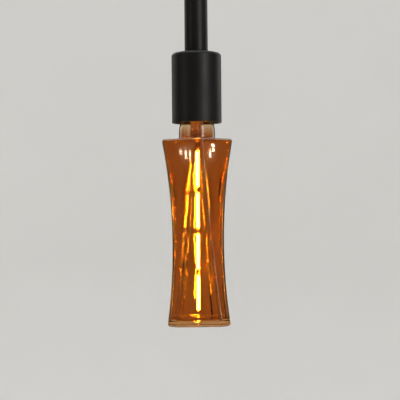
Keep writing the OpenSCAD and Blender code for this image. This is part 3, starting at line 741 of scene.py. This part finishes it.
makeStem()
makeExhaust()
print("stem and exhaust tube")


# Filaments: coated strips, each a little uneven
filament = {
    "firstTop": -177.9, "length": 33.175, "pitch": 38.975, "radius": 1.5, "edge": 0.8, "unevenness": 0.03,
    "count": 4, "edgeSteps": 4, "rows": 30, "n": 28,
}


def makeFilament(number):
    f = filament
    top = f["firstTop"] - (number - 1) * f["pitch"]
    low = top - f["length"]
    r, edge = f["radius"], f["edge"]
    arc = [(r - edge * (1 - math.sin(a)), edge * (1 - math.cos(a))) for a in quarterTurn(f["edgeSteps"])]
    profile = [(0, low)] + [(reach, low + d) for reach, d in arc]
    for z in np.linspace(low + edge, top - edge, f["rows"])[1:-1]:
        swell = math.sin(z * 1.3 + number) * math.sin(z * 0.57 + 2 * number)
        profile.append((r - f["unevenness"] + f["unevenness"] * swell, z))
    profile += [(reach, top - d) for reach, d in arc[::-1]] + [(0, top)]
    name = "filament_coat_%d" % number
    coat = lathe(name, profile, finish["phosphor"], f["n"], sharpAngle=None, pole=True)
    finishPiece(coat, "bulb", "phosphor", "filament_%d" % number)


for number in range(1, filament["count"] + 1):
    makeFilament(number)
print("filaments")


# Screw cap with its round thread, and the female shell it turns in: one wave, in step with the screw joint
rolled = {"pitch": 3.629, "depth": 0.5, "fade": 1.8, "n": 144, "crease": 50}
cap = {
    "metal": 0.35, "low": -142.0, "skirt": 3.4, "skirtRadius": 13.22, "edge": 0.1,
    "crimp": 0.08, "crimpDrop": 0.2, "stepDrop": 0.5,
    "middle": 12.6, "threadLow": -138.45, "threadHigh": -122.3,
    "runOut": 12.45, "runOutRise": 0.25, "runOutInset": 0.05, "shoulder": 12.2, "shoulderRise": 0.7,
    "shoulderInset": 0.15, "coneTop": -120.6, "coneEdge": 0.12, "coneRadius": 11.7, "collar": 10.7,
}
socket = {
    "metal": 0.4, "low": -142.5, "high": -117.6, "plain": 13.42, "plainDrop": 0.8, "flange": 16.7,
    "flangeBend": 0.3, "roll": 0.4, "rollRise": 0.6, "rollKnee": (0.12, 0.2),
    "middle": 12.92, "threadLow": -138.2, "threadHigh": -119.1, "stepIn": 0.15, "stepDrop": 0.35,
    "runOut": 12.95, "runOutRise": 0.3, "crown": 12.5, "crownBend": 12.85, "crownDrop": 0.35,
    "crownEdge": 0.1, "mouth": 9.9,
}


def rolledThread(shell):
    wave = (rolled["depth"], rolled["pitch"], rolled["fade"])
    return threadRun(shell["middle"], shell["threadLow"], shell["threadHigh"], *wave)


def rolledShell(name, profile, slot, body, node):
    shell = lathe(name, profile, finish[slot], rolled["n"], rolled["pitch"], rolled["crease"])
    finishPiece(shell, body, slot, node)


def makeCap():
    c = cap
    thin, low, step, edge = c["metal"], c["low"], c["low"] + c["skirt"], c["edge"]
    skirt, crimped = c["skirtRadius"], c["skirtRadius"] - c["crimp"]
    cone, coneTop, thread = c["coneRadius"], c["coneTop"], rolledThread(c)
    runOutLevel, shoulderLevel = c["threadHigh"] + c["runOutRise"], c["threadHigh"] + c["shoulderRise"]
    outside = [(skirt - edge, low), (skirt, low + edge)]
    outside += [(skirt, step - c["stepDrop"]), (crimped, step - c["crimpDrop"])] + thread
    outside += [(c["runOut"], runOutLevel), (c["shoulder"], shoulderLevel)]
    outside += [(cone + edge, coneTop - c["coneEdge"]), (cone - edge, coneTop), (c["collar"], coneTop)]
    bent = [(c["shoulder"], shoulderLevel - c["shoulderInset"])]
    bent += [(c["runOut"], runOutLevel - c["runOutInset"])] + thread[::-1]
    bent += [(crimped, step - c["crimpDrop"] - edge), (skirt, step - c["stepDrop"] - edge)]
    bent += [(skirt, low + edge), (skirt + c["crimp"], low)]
    inside = [(c["collar"], coneTop - thin), (cone - 2 * edge, coneTop - thin)] + thickened(bent, -thin)
    rolledShell("rolled_screw_cap", outside + inside, "cap_metal", "bulb", "cap_shell")


def makeSocket():
    s = socket
    thin, low, high, plain = s["metal"], s["low"], s["high"], s["plain"]
    thread = rolledThread(s)
    step = [(plain - s["stepIn"], s["threadLow"] - s["stepDrop"]), (plain, s["threadLow"] - s["plainDrop"])]
    runOut = (s["runOut"], s["threadHigh"] + s["runOutRise"])
    inside = [(s["mouth"], high - thin), (s["crown"], high - thin)]
    inside += [(s["crownBend"], high - thin - s["crownDrop"]), runOut] + thread[::-1] + step
    inside += [(plain, low + s["rollRise"]), (plain + s["rollKnee"][0], low + s["rollKnee"][1])]
    inside += [(plain + s["roll"], low)]
    outside = [(s["flange"], low), (s["flange"], low + thin)]
    outside += [(plain + thin + s["flangeBend"], low + thin), (plain + thin, low + thin + s["flangeBend"])]
    outside += thickened(step[::-1] + thread + [runOut], thin)
    outside += [(s["runOut"] + thin, high - thin - s["crownEdge"]), (s["runOut"], high - s["crownEdge"])]
    outside += [(s["crown"], high), (s["mouth"], high)]
    rolledShell("rolled_screw_shell", inside + outside, "brass", "holder", "screw_shell")


# Wire from the driver board to the cap: it bends down inside the thread's roots
neutralWire = {
    "radius": 0.3, "bend": 0.8, "from": 5.0, "reach": 9.68, "side": -6.0,
    "level": -134.4, "low": -137.2, "bendSteps": 8, "n": 16,
}


def makeNeutralWire():
    w = neutralWire
    path = [(w["from"], w["level"], 0.0)]
    for a in quarterTurn(w["bendSteps"]):
        x, z = w["reach"] - w["bend"] * (1 - math.sin(a)), w["level"] - w["bend"] * (1 - math.cos(a))
        path.append((x, z, a))
    path.append((w["reach"], w["low"], math.pi / 2))
    turns = ringTurns(w["n"])
    out, side = w["radius"] * np.sin(turns), w["side"] + w["radius"] * np.cos(turns)
    rows = [np.stack([x + out * math.sin(a), side, z + out * math.cos(a)], 1) for x, z, a in path]
    ends = [(x, w["side"], z) for x, z, a in (path[0], path[-1])]
    wire = loft("neutral_wire_bent", rows, finish[slotOf["neutral_wire"]], *ends)
    finishPiece(wire, "bulb", slotOf["neutral_wire"], "neutral_wire")


makeCap()
makeSocket()
makeNeutralWire()
print("screw cap and screw shell")


# Tube, its plugs, and the stack on the threaded nipple; plugs, nut and dome share one lamp thread
tube = {"radius": 11.0, "wall": 1.5, "length": 85.0, "edge": 0.25, "n": 128}
lampThread = {"middle": 4.76, "depth": 0.26, "pitch": 1.0, "fade": 0.8, "mouth": 5.15}
plug = {"radius": 9.45, "length": 12.0, "groove": 1.0, "grooveRows": 9, "edge": 0.3}
nipple = {
    "low": -99.0, "high": -75.0, "bore": 3.25, "edge": 0.3, "middle": 4.68, "threadGap": 0.4,
    "endRadius": 4.3, "startRadius": 4.55, "startGap": 0.25,
}
nut = {
    "low": -90.0, "high": -87.0, "flats": 14.0, "bore": 5.1, "threadGap": 0.3, "fade": 0.6,
    "chamferDrop": 0.1, "chamferSlope": 1.7, "rises": (0, 0.15, 0.35, 0.6, 0.9, 1.5), "n": 96, "crease": 30,
}
cup = {
    "top": -85.0, "height": 66.0, "radius": 23.5, "wall": 1.2, "edge": 3.2, "hole": 5.15, "holeEdge": 0.2,
    "lip": 0.35, "wallRows": 8, "edgeSteps": 12, "n": 160,
}


def femaleThread(low, high, lowGap, highGap, fade):
    # The lamp thread inside a bore, from the top down
    t = lampThread
    return threadRun(t["middle"], low + lowGap, high - highGap, t["depth"], t["pitch"], fade)[::-1]


def makeTube():
    t = tube
    inner, low = t["radius"] - t["wall"], -t["length"]
    profile = softened([(inner, low), (t["radius"], low), (t["radius"], 0), (inner, 0)], t["edge"])
    drawn = lathe("suspension_tube_drawn", profile, finish["black_paint"], t["n"])
    finishPiece(drawn, "holder", "black_paint", "suspension_tube")


def makePlug(name, low, node):
    p, mouth = plug, lampThread["mouth"]
    r, edge = p["radius"], p["edge"]
    high, middle = low + p["length"], low + p["length"] / 2
    profile = [(mouth, low), (r - edge, low), (r, low + edge)]
    half = math.acos(0.5)   # the groove's middle lies half its radius outside the plug
    for a in np.linspace(-half, half, p["grooveRows"]):
        profile.append((r + p["groove"] / 2 - p["groove"] * math.cos(a), middle + p["groove"] * math.sin(a)))
    profile += [(r, high - edge), (r - edge, high), (mouth, high)]
    profile += femaleThread(low, high, edge, edge, lampThread["fade"])
    turned = lathe(name, profile, finish["zinc_steel"], pitch=lampThread["pitch"])
    finishPiece(turned, "holder", "zinc_steel", node)


def makeNipple():
    s, t = nipple, lampThread
    low, high, bore, edge, gap = s["low"], s["high"], s["bore"], s["edge"], s["threadGap"]
    profile = [(bore + edge, low), (s["endRadius"], low), (s["startRadius"], low + s["startGap"])]
    profile += threadRun(s["middle"], low + gap, high - gap, t["depth"], t["pitch"], t["fade"])
    profile += [(s["startRadius"], high - s["startGap"]), (s["endRadius"], high)]
    profile += [(bore + edge, high), (bore, high - edge), (bore, low + edge)]
    turned = lathe("lamp_thread_nipple", profile, finish["zinc_steel"], pitch=t["pitch"])
    finishPiece(turned, "holder", "zinc_steel", "threaded_nipple")


def makeNut():
    s = nut
    low, high, n = s["low"], s["high"], s["n"]
    turns = ringTurns(n)
    hexagon = s["flats"] / 2 / np.cos((turns + tau / 12) % (tau / 6) - tau / 12)
    rows = []
    for z in [low + d for d in s["rises"]] + [high - d for d in s["rises"][-2::-1]]:
        cone = s["flats"] / 2 - s["chamferDrop"] + min(z - low, high - z) * s["chamferSlope"]
        reach = np.minimum(hexagon, cone)
        rows.append(np.stack([reach * np.sin(turns), reach * np.cos(turns), np.full(n, z)], 1)[::-1])
    start = np.arctan2(rows[0][0][1], rows[0][0][0])
    thread = femaleThread(low, high, s["threadGap"], s["threadGap"], s["fade"])
    bore = [(s["bore"], high)] + thread + [(s["bore"], low)]
    rows += [spunRing(point, start + turns, lampThread["pitch"]) for point in bore]
    pressed = loft("hexagon_lock_nut", rows, finish["zinc_steel"], closed=True, sharpAngle=s["crease"])
    finishPiece(pressed, "holder", "zinc_steel", "lock_nut")


def makeCup():
    c = cup
    low, top, r, inner = c["top"] - c["height"], c["top"], c["radius"], c["radius"] - c["wall"]
    ceiling, half, bend = top - c["wall"], c["wall"] / 2, c["edge"] - c["wall"]
    quarter = quarterTurn(c["edgeSteps"])
    profile = []
    for a in np.linspace(-math.pi / 2, math.pi / 2, c["edgeSteps"] + 1):
        profile.append((inner + half + half * math.sin(a), low + c["lip"] * (1 - math.cos(a))))
    profile += [(r, z) for z in np.linspace(low, top - c["edge"], c["wallRows"])[1:-1]]
    for a in quarter:
        profile.append((r - c["edge"] * (1 - math.cos(a)), top - c["edge"] * (1 - math.sin(a))))
    hole, edge = c["hole"], c["holeEdge"]
    profile += [(hole + edge, top), (hole, top - edge), (hole, ceiling + edge), (hole + edge, ceiling)]
    for a in quarter[::-1]:
        profile.append((inner - bend * (1 - math.cos(a)), ceiling - bend * (1 - math.sin(a))))
    spun = lathe("spun_cup", profile, finish["black_paint"], c["n"])
    finishPiece(spun, "holder", "black_paint", "holder_cup")


makeTube()
makePlug("threaded_plug_top", -plug["length"], "tube_top_plug")
makePlug("threaded_plug_bottom", -tube["length"], "tube_bottom_plug")
makeNipple()
makeNut()
makeCup()
print("tube, cup and the nipple's stack")


# Lamp holder: dome with its locking screw, grooved barrel, terminal screws
dome = {
    "neck": 8.5, "radius": 20.0, "cavity": 16.2, "top": -90.0, "roof": -98.0, "cavityTop": -99.0,
    "straight": -107.1, "step": -108.55, "skirt": -114.6, "skirtBore": 18.65, "edge": 0.4, "neckEdge": 0.6,
    "boreEdge": 0.2, "threadMouth": 5.1, "threadEnd": 5.0, "threadGaps": (0.4, 0.3), "threadFade": 0.7,
    "screwLevel": -94.0, "screwHole": 1.55, "holeEnds": (3, 25), "holeTurns": 32, "archSteps": 14, "n": 128,
}
barrel = {
    "low": -144.5, "lip": -142.5, "step": -114.65, "top": -108.65, "radius": 20.0, "spigot": 18.6,
    "bore": 17.2, "lipRadius": 14.62, "edge": 1.0, "lipEdge": 0.3, "stepEdge": 0.2, "spigotEdge": 0.3,
    "boreEdge": 0.15, "rimFlat": 0.2, "rimKnee": (0.25, 0.35), "grooves": 24, "groove": 0.7,
    "grooveAt": 20.35, "grooveLow": -141.5, "grooveHigh": -117.65, "grooveEnd": 0.25,
    "grooveShares": (-1, -0.85, -0.6, -0.3, 0, 0.3, 0.6, 0.85, 1),
}
terminalScrew = {
    "head": 2.4, "headHeight": 1.5, "crown": 0.75, "shank": 1.2, "low": -104.6, "seat": -101.5,
    "tip": 0.35, "edge": 0.15, "crownPower": 0.6, "crownFlat": 0.3, "crownSteps": 6,
    "pitch": 0.45, "depth": 0.12, "threadGap": 0.25, "fade": 0.3,
    "slot": 0.6, "slotDepth": 0.7, "slotReach": 4, "at": 7.5, "n": 48,
    "liveTurn": -0.9, "neutralTurn": 0.6,   # radians
}
lockingScrew = {
    "radius": 1.5, "length": 3.6, "from": 5.0, "tip": 0.45, "edge": 0.3,
    "pitch": 0.5, "depth": 0.13, "threadLow": 0.3, "threadDrop": 0.15, "fade": 0.3,
    "slot": 0.45, "slotDepth": 0.8, "slotReach": 3, "n": 48,
    "turn": 0.5,   # radians
}


def makeSlotTool(reach, width, low, high):
    # A box that cuts a screw's slot
    half = width / 2
    outline = ((-reach, -half), (reach, -half), (reach, half), (-reach, half))
    corners = [(x, y, z) for z in (low, high) for x, y in outline]
    faces = [(3, 2, 1, 0), (4, 5, 6, 7)] + [(k, (k + 1) % 4, (k + 1) % 4 + 4, k + 4) for k in range(4)]
    return makePiece("tool", corners, faces, finish["zinc_steel"])


def domeArch(r, z):
    # From the dome's straight side up to its neck, a quarter of an ellipse
    neck, straight = dome["neck"], dome["straight"]
    wide, tall, angles = r - neck, z - straight, quarterTurn(dome["archSteps"])
    return [(neck + wide * math.cos(a), straight + tall * math.sin(a)) for a in angles]


def makeDome():
    d = dome
    r, top, edge, neckEdge = d["radius"], d["top"], d["edge"], d["neckEdge"]
    outside = [(d["skirtBore"] + d["boreEdge"], d["skirt"]), (r - edge, d["skirt"]), (r, d["skirt"] + edge)]
    outside += domeArch(r, d["roof"]) + [(d["neck"], d["roof"] + neckEdge), (d["neck"], top - neckEdge)]
    outside += [(d["neck"] - neckEdge, top), (d["threadMouth"], top)]
    thread = femaleThread(d["cavityTop"], top, *d["threadGaps"], d["threadFade"])
    inside = [(d["threadEnd"], d["cavityTop"])] + domeArch(d["cavity"], d["cavityTop"])[::-1]
    inside += [(d["cavity"], d["step"]), (d["skirtBore"], d["step"])]
    inside += [(d["skirtBore"], d["skirt"] + d["boreEdge"])]
    profile = outside + thread + inside
    moulded = lathe("moulded_dome", profile, finish["black_plastic"], d["n"], lampThread["pitch"])
    t = ringTurns(d["holeTurns"])
    y, z = d["screwHole"] * np.cos(t), d["screwLevel"] + d["screwHole"] * np.sin(t)
    rows = [np.stack([np.full_like(t, x), y, z], 1) for x in d["holeEnds"]]
    poles = [(x, 0, d["screwLevel"]) for x in d["holeEnds"]]
    cutAway(moulded, loft("tool", rows, finish["zinc_steel"], *poles))
    finishPiece(moulded, "holder", "black_plastic", "holder_dome")


def makeBarrel():
    b = barrel
    pace = tau / b["grooves"]
    reach = math.asin(b["groove"] / b["grooveAt"])
    offsets = [reach * s for s in b["grooveShares"]] + list(np.linspace(reach, pace - reach, 4)[1:-1])
    turns = np.array([k * pace + d for k in range(b["grooves"]) for d in offsets])
    near = (turns + pace / 2) % pace - pace / 2
    depth = np.sqrt(np.maximum(b["groove"] ** 2 - (b["grooveAt"] * np.sin(near)) ** 2, 0))
    cut = np.minimum(b["grooveAt"] * np.cos(near) - depth, b["radius"])
    grooved = np.where(np.abs(near) < reach * 1.001, cut, b["radius"])
    r, low, step, top = b["radius"], b["low"], b["step"], b["top"]
    spigot, bore, lip = b["spigot"], b["bore"], b["lipRadius"]
    profile = [(lip + b["lipEdge"], low), (r - b["edge"] - b["rimFlat"], low)]
    profile += [(r - b["rimKnee"][0], low + b["rimKnee"][1]), (r, low + b["edge"])]
    profile += [(r, b["grooveLow"]), (grooved, b["grooveLow"] + b["grooveEnd"])]
    profile += [(grooved, b["grooveHigh"] - b["grooveEnd"]), (r, b["grooveHigh"])]
    profile += [(r, step - b["stepEdge"]), (r - b["stepEdge"], step), (spigot, step)]
    profile += [(spigot, top - b["spigotEdge"]), (spigot - b["spigotEdge"], top)]
    profile += [(bore + b["boreEdge"], top), (bore, top - b["boreEdge"])]
    profile += [(bore, b["lip"]), (lip, b["lip"]), (lip, low + b["lipEdge"])]
    rows = [np.stack([r * np.cos(turns), r * np.sin(turns), np.full_like(turns, z)], 1) for r, z in profile]
    moulded = loft("ribbed_barrel", rows, finish["black_plastic"], closed=True)
    finishPiece(moulded, "holder", "black_plastic", "holder_barrel")


def makeTerminalScrew(name, x, turn):
    s = terminalScrew
    seat, head, high = s["seat"], s["head"], s["seat"] + s["headHeight"]
    low = s["low"] + s["threadGap"]
    profile = [(0, s["low"]), (s["shank"] - s["tip"], s["low"])]
    profile += threadRun(s["shank"] - s["depth"], low, seat, s["depth"], s["pitch"], s["fade"])
    profile += [(head - s["edge"], seat), (head, seat + s["edge"])]
    for a in quarterTurn(s["crownSteps"])[:-1]:
        profile.append((head * math.cos(a) ** s["crownPower"], high - s["crown"] + s["crown"] * math.sin(a)))
    profile += [(s["crownFlat"], high), (0, high)]
    screw = lathe(name, profile, finish["zinc_steel"], s["n"], s["pitch"], pole=True)
    cutAway(screw, makeSlotTool(s["slotReach"], s["slot"], high - s["slotDepth"], high + 1))
    screw.data.transform(Matrix.Translation((x * mm, 0, 0)) @ Matrix.Rotation(turn, 4, "Z"))
    finishPiece(screw, "holder", "zinc_steel")


def makeLockingScrew():
    s = lockingScrew
    r, high = s["radius"], s["length"]
    profile = [(0, 0), (r - s["tip"], 0)]
    wave = (s["depth"], s["pitch"], s["fade"])
    profile += threadRun(r - s["depth"], s["threadLow"], high - s["threadDrop"], *wave)
    profile += [(r - s["edge"], high), (0, high)]
    screw = lathe("dome_locking_screw", profile, finish["zinc_steel"], s["n"], s["pitch"], pole=True)
    cutAway(screw, makeSlotTool(s["slotReach"], s["slot"], high - s["slotDepth"], high + 1))
    place = Matrix.Translation((s["from"] * mm, 0, dome["screwLevel"] * mm))
    screw.data.transform(place @ Matrix.Rotation(math.pi / 2, 4, "Y") @ Matrix.Rotation(s["turn"], 4, "Z"))
    finishPiece(screw, "holder", "zinc_steel")


makeDome()
makeBarrel()
makeTerminalScrew("live_terminal_screw", -terminalScrew["at"], terminalScrew["liveTurn"])
makeTerminalScrew("neutral_terminal_screw", terminalScrew["at"], terminalScrew["neutralTurn"])
makeLockingScrew()
print("lamp holder")
